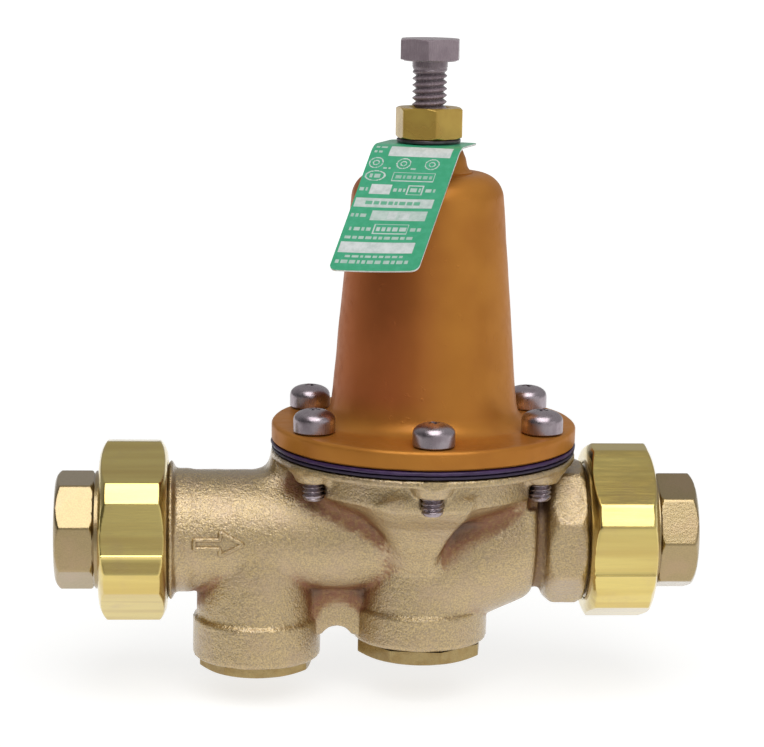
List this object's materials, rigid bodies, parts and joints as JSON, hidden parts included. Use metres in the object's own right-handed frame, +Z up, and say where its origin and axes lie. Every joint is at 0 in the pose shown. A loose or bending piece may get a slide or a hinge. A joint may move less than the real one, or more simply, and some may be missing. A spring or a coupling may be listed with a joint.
{
  "type": "pressure reducing valve",
  "caption": "Direct-acting water pressure reducing valve with a bronze body, painted spring bonnet, adjusting bolt, union pipe ends and a strainer boss.",
  "frame": {"origin": "where the pipe axis crosses the bonnet axis", "axes": "+X is the flow direction, from the inlet to the outlet; +Z runs up the bonnet; +Y is away from the face with the flow arrow"},
  "size_m": [0.1832, 0.0916, 0.1807],
  "materials": {
    "cast_bronze": "grainy sand-cast surface, satin",
    "tail_bronze": "fine cast surface, satin",
    "bonnet_paint": "gloss enamel over a casting",
    "bolt_steel": "dull zinc-plated steel",
    "screw_steel": "bright plated steel",
    "polished_brass": "machined and polished",
    "dark_steel": "dark plated steel",
    "spring_steel": "oiled spring wire",
    "stainless": "machined stainless steel",
    "tag_paint": "semi-gloss printed sheet metal",
    "diaphragm_rubber": "matt, cloth-faced",
    "gasket_rubber": "matt",
    "fibre": "pressed fibre"
  },
  "bodies": {
    "valve_body": {"body": "cast_bronze", "bonnet": "bonnet_paint", "diaphragm": "diaphragm_rubber", "diaphragm_gasket": "gasket_rubber", "seat_ring": "stainless", "seat_o_ring": "gasket_rubber", "main_spring": "spring_steel", "inlet_union_gasket": "fibre", "outlet_union_gasket": "fibre", "cap_screw_1": "screw_steel", "cap_screw_2": "screw_steel", "cap_screw_3": "screw_steel", "cap_screw_4": "screw_steel", "cap_screw_5": "screw_steel", "cap_screw_6": "screw_steel"},
    "stem_assembly": {"stem": "stainless", "stem_nut": "bolt_steel", "pressure_plate": "dark_steel", "diaphragm_washer": "polished_brass", "disc_holder": "polished_brass", "seat_disc": "gasket_rubber", "disc_nut": "stainless"},
    "spring_button": {"spring_button": "dark_steel"},
    "adjusting_bolt": {"adjusting_bolt": "bolt_steel"},
    "lock_washer": {"lock_washer": "dark_steel"},
    "lock_nut": {"lock_nut": "polished_brass"},
    "identification_tag": {"identification_tag": "tag_paint"},
    "inlet_tailpiece": {"inlet_tailpiece": "tail_bronze"},
    "inlet_union_nut": {"inlet_union_nut": "polished_brass"},
    "outlet_tailpiece": {"outlet_tailpiece": "tail_bronze"},
    "outlet_union_nut": {"outlet_union_nut": "polished_brass"},
    "strainer_screen": {"strainer_screen": "stainless", "strainer_plug_o_ring": "gasket_rubber"},
    "strainer_plug": {"strainer_plug": "polished_brass"},
    "bottom_seal": {"bottom_plug_o_ring": "gasket_rubber", "bottom_spring": "stainless"},
    "bottom_plug": {"bottom_plug": "polished_brass"}
  },
  "joints": [
    {"name": "stem_travel", "type": "slide", "parent": "valve_body", "child": "stem_assembly", "axis": [0, 0, 1], "range_m": [0, 0.0025], "stiffness_N_per_m": 1500, "springref_m": -0.004, "deforming": ["diaphragm", "bottom_spring"]},
    {"name": "adjuster_travel", "type": "slide", "parent": "valve_body", "child": "spring_button", "axis": [0, 0, -1], "range_m": [-0.0027, 0.008], "deforming": ["main_spring"]},
    {"name": "adjusting_bolt_turn", "type": "hinge", "parent": "spring_button", "child": "adjusting_bolt", "pos_m": [0, 0, 0.0946], "axis": [0, 0, -1], "range_deg": [-541, 1601]},
    {"name": "lock_nut_lift", "type": "slide", "parent": "valve_body", "child": "lock_washer", "axis": [0, 0, 1], "range_m": [0, 0.003]},
    {"name": "lock_nut_turn", "type": "hinge", "parent": "lock_washer", "child": "lock_nut", "pos_m": [0, 0, 0.1132], "axis": [0, 0, 1], "range_deg": [0, 601]},
    {"name": "tag_swivel", "type": "hinge", "parent": "valve_body", "child": "identification_tag", "pos_m": [0, 0, 0.1112], "axis": [0, 0, 1], "range_deg": [-150, 150]},
    {"name": "inlet_tail_slide", "type": "slide", "parent": "valve_body", "child": "inlet_tailpiece", "axis": [-1, 0, 0], "range_m": [0, 0.01]},
    {"name": "inlet_nut_turn", "type": "hinge", "parent": "inlet_tailpiece", "child": "inlet_union_nut", "pos_m": [-0.0825, 0, 0], "axis": [-1, 0, 0], "range_deg": [0, 1638]},
    {"name": "outlet_tail_slide", "type": "slide", "parent": "valve_body", "child": "outlet_tailpiece", "axis": [1, 0, 0], "range_m": [0, 0.01]},
    {"name": "outlet_nut_turn", "type": "hinge", "parent": "outlet_tailpiece", "child": "outlet_union_nut", "pos_m": [0.0563, 0, 0], "axis": [1, 0, 0], "range_deg": [0, 1638]},
    {"name": "strainer_drop", "type": "slide", "parent": "valve_body", "child": "strainer_screen", "axis": [0, 0, -1], "range_m": [0, 0.0079]},
    {"name": "strainer_plug_turn", "type": "hinge", "parent": "strainer_screen", "child": "strainer_plug", "pos_m": [-0.0472, 0, -0.038], "axis": [0, 0, -1], "range_deg": [0, 1582]},
    {"name": "bottom_plug_drop", "type": "slide", "parent": "valve_body", "child": "bottom_seal", "axis": [0, 0, -1], "range_m": [0, 0.0079], "deforming": ["bottom_spring"]},
    {"name": "bottom_plug_turn", "type": "hinge", "parent": "bottom_seal", "child": "bottom_plug", "pos_m": [0, 0, -0.0335], "axis": [0, 0, -1], "range_deg": [0, 1582]}
  ],
  "couplings": [
    {"joint": "adjusting_bolt_turn", "follows": "adjuster_travel", "rad_per_m": 3490.7},
    {"joint": "lock_nut_turn", "follows": "lock_nut_lift", "rad_per_m": 3490.7},
    {"joint": "inlet_nut_turn", "follows": "inlet_tail_slide", "rad_per_m": 2856},
    {"joint": "outlet_nut_turn", "follows": "outlet_tail_slide", "rad_per_m": 2856},
    {"joint": "strainer_plug_turn", "follows": "strainer_drop", "rad_per_m": 3490.7},
    {"joint": "bottom_plug_turn", "follows": "bottom_plug_drop", "rad_per_m": 3490.7}
  ]
}
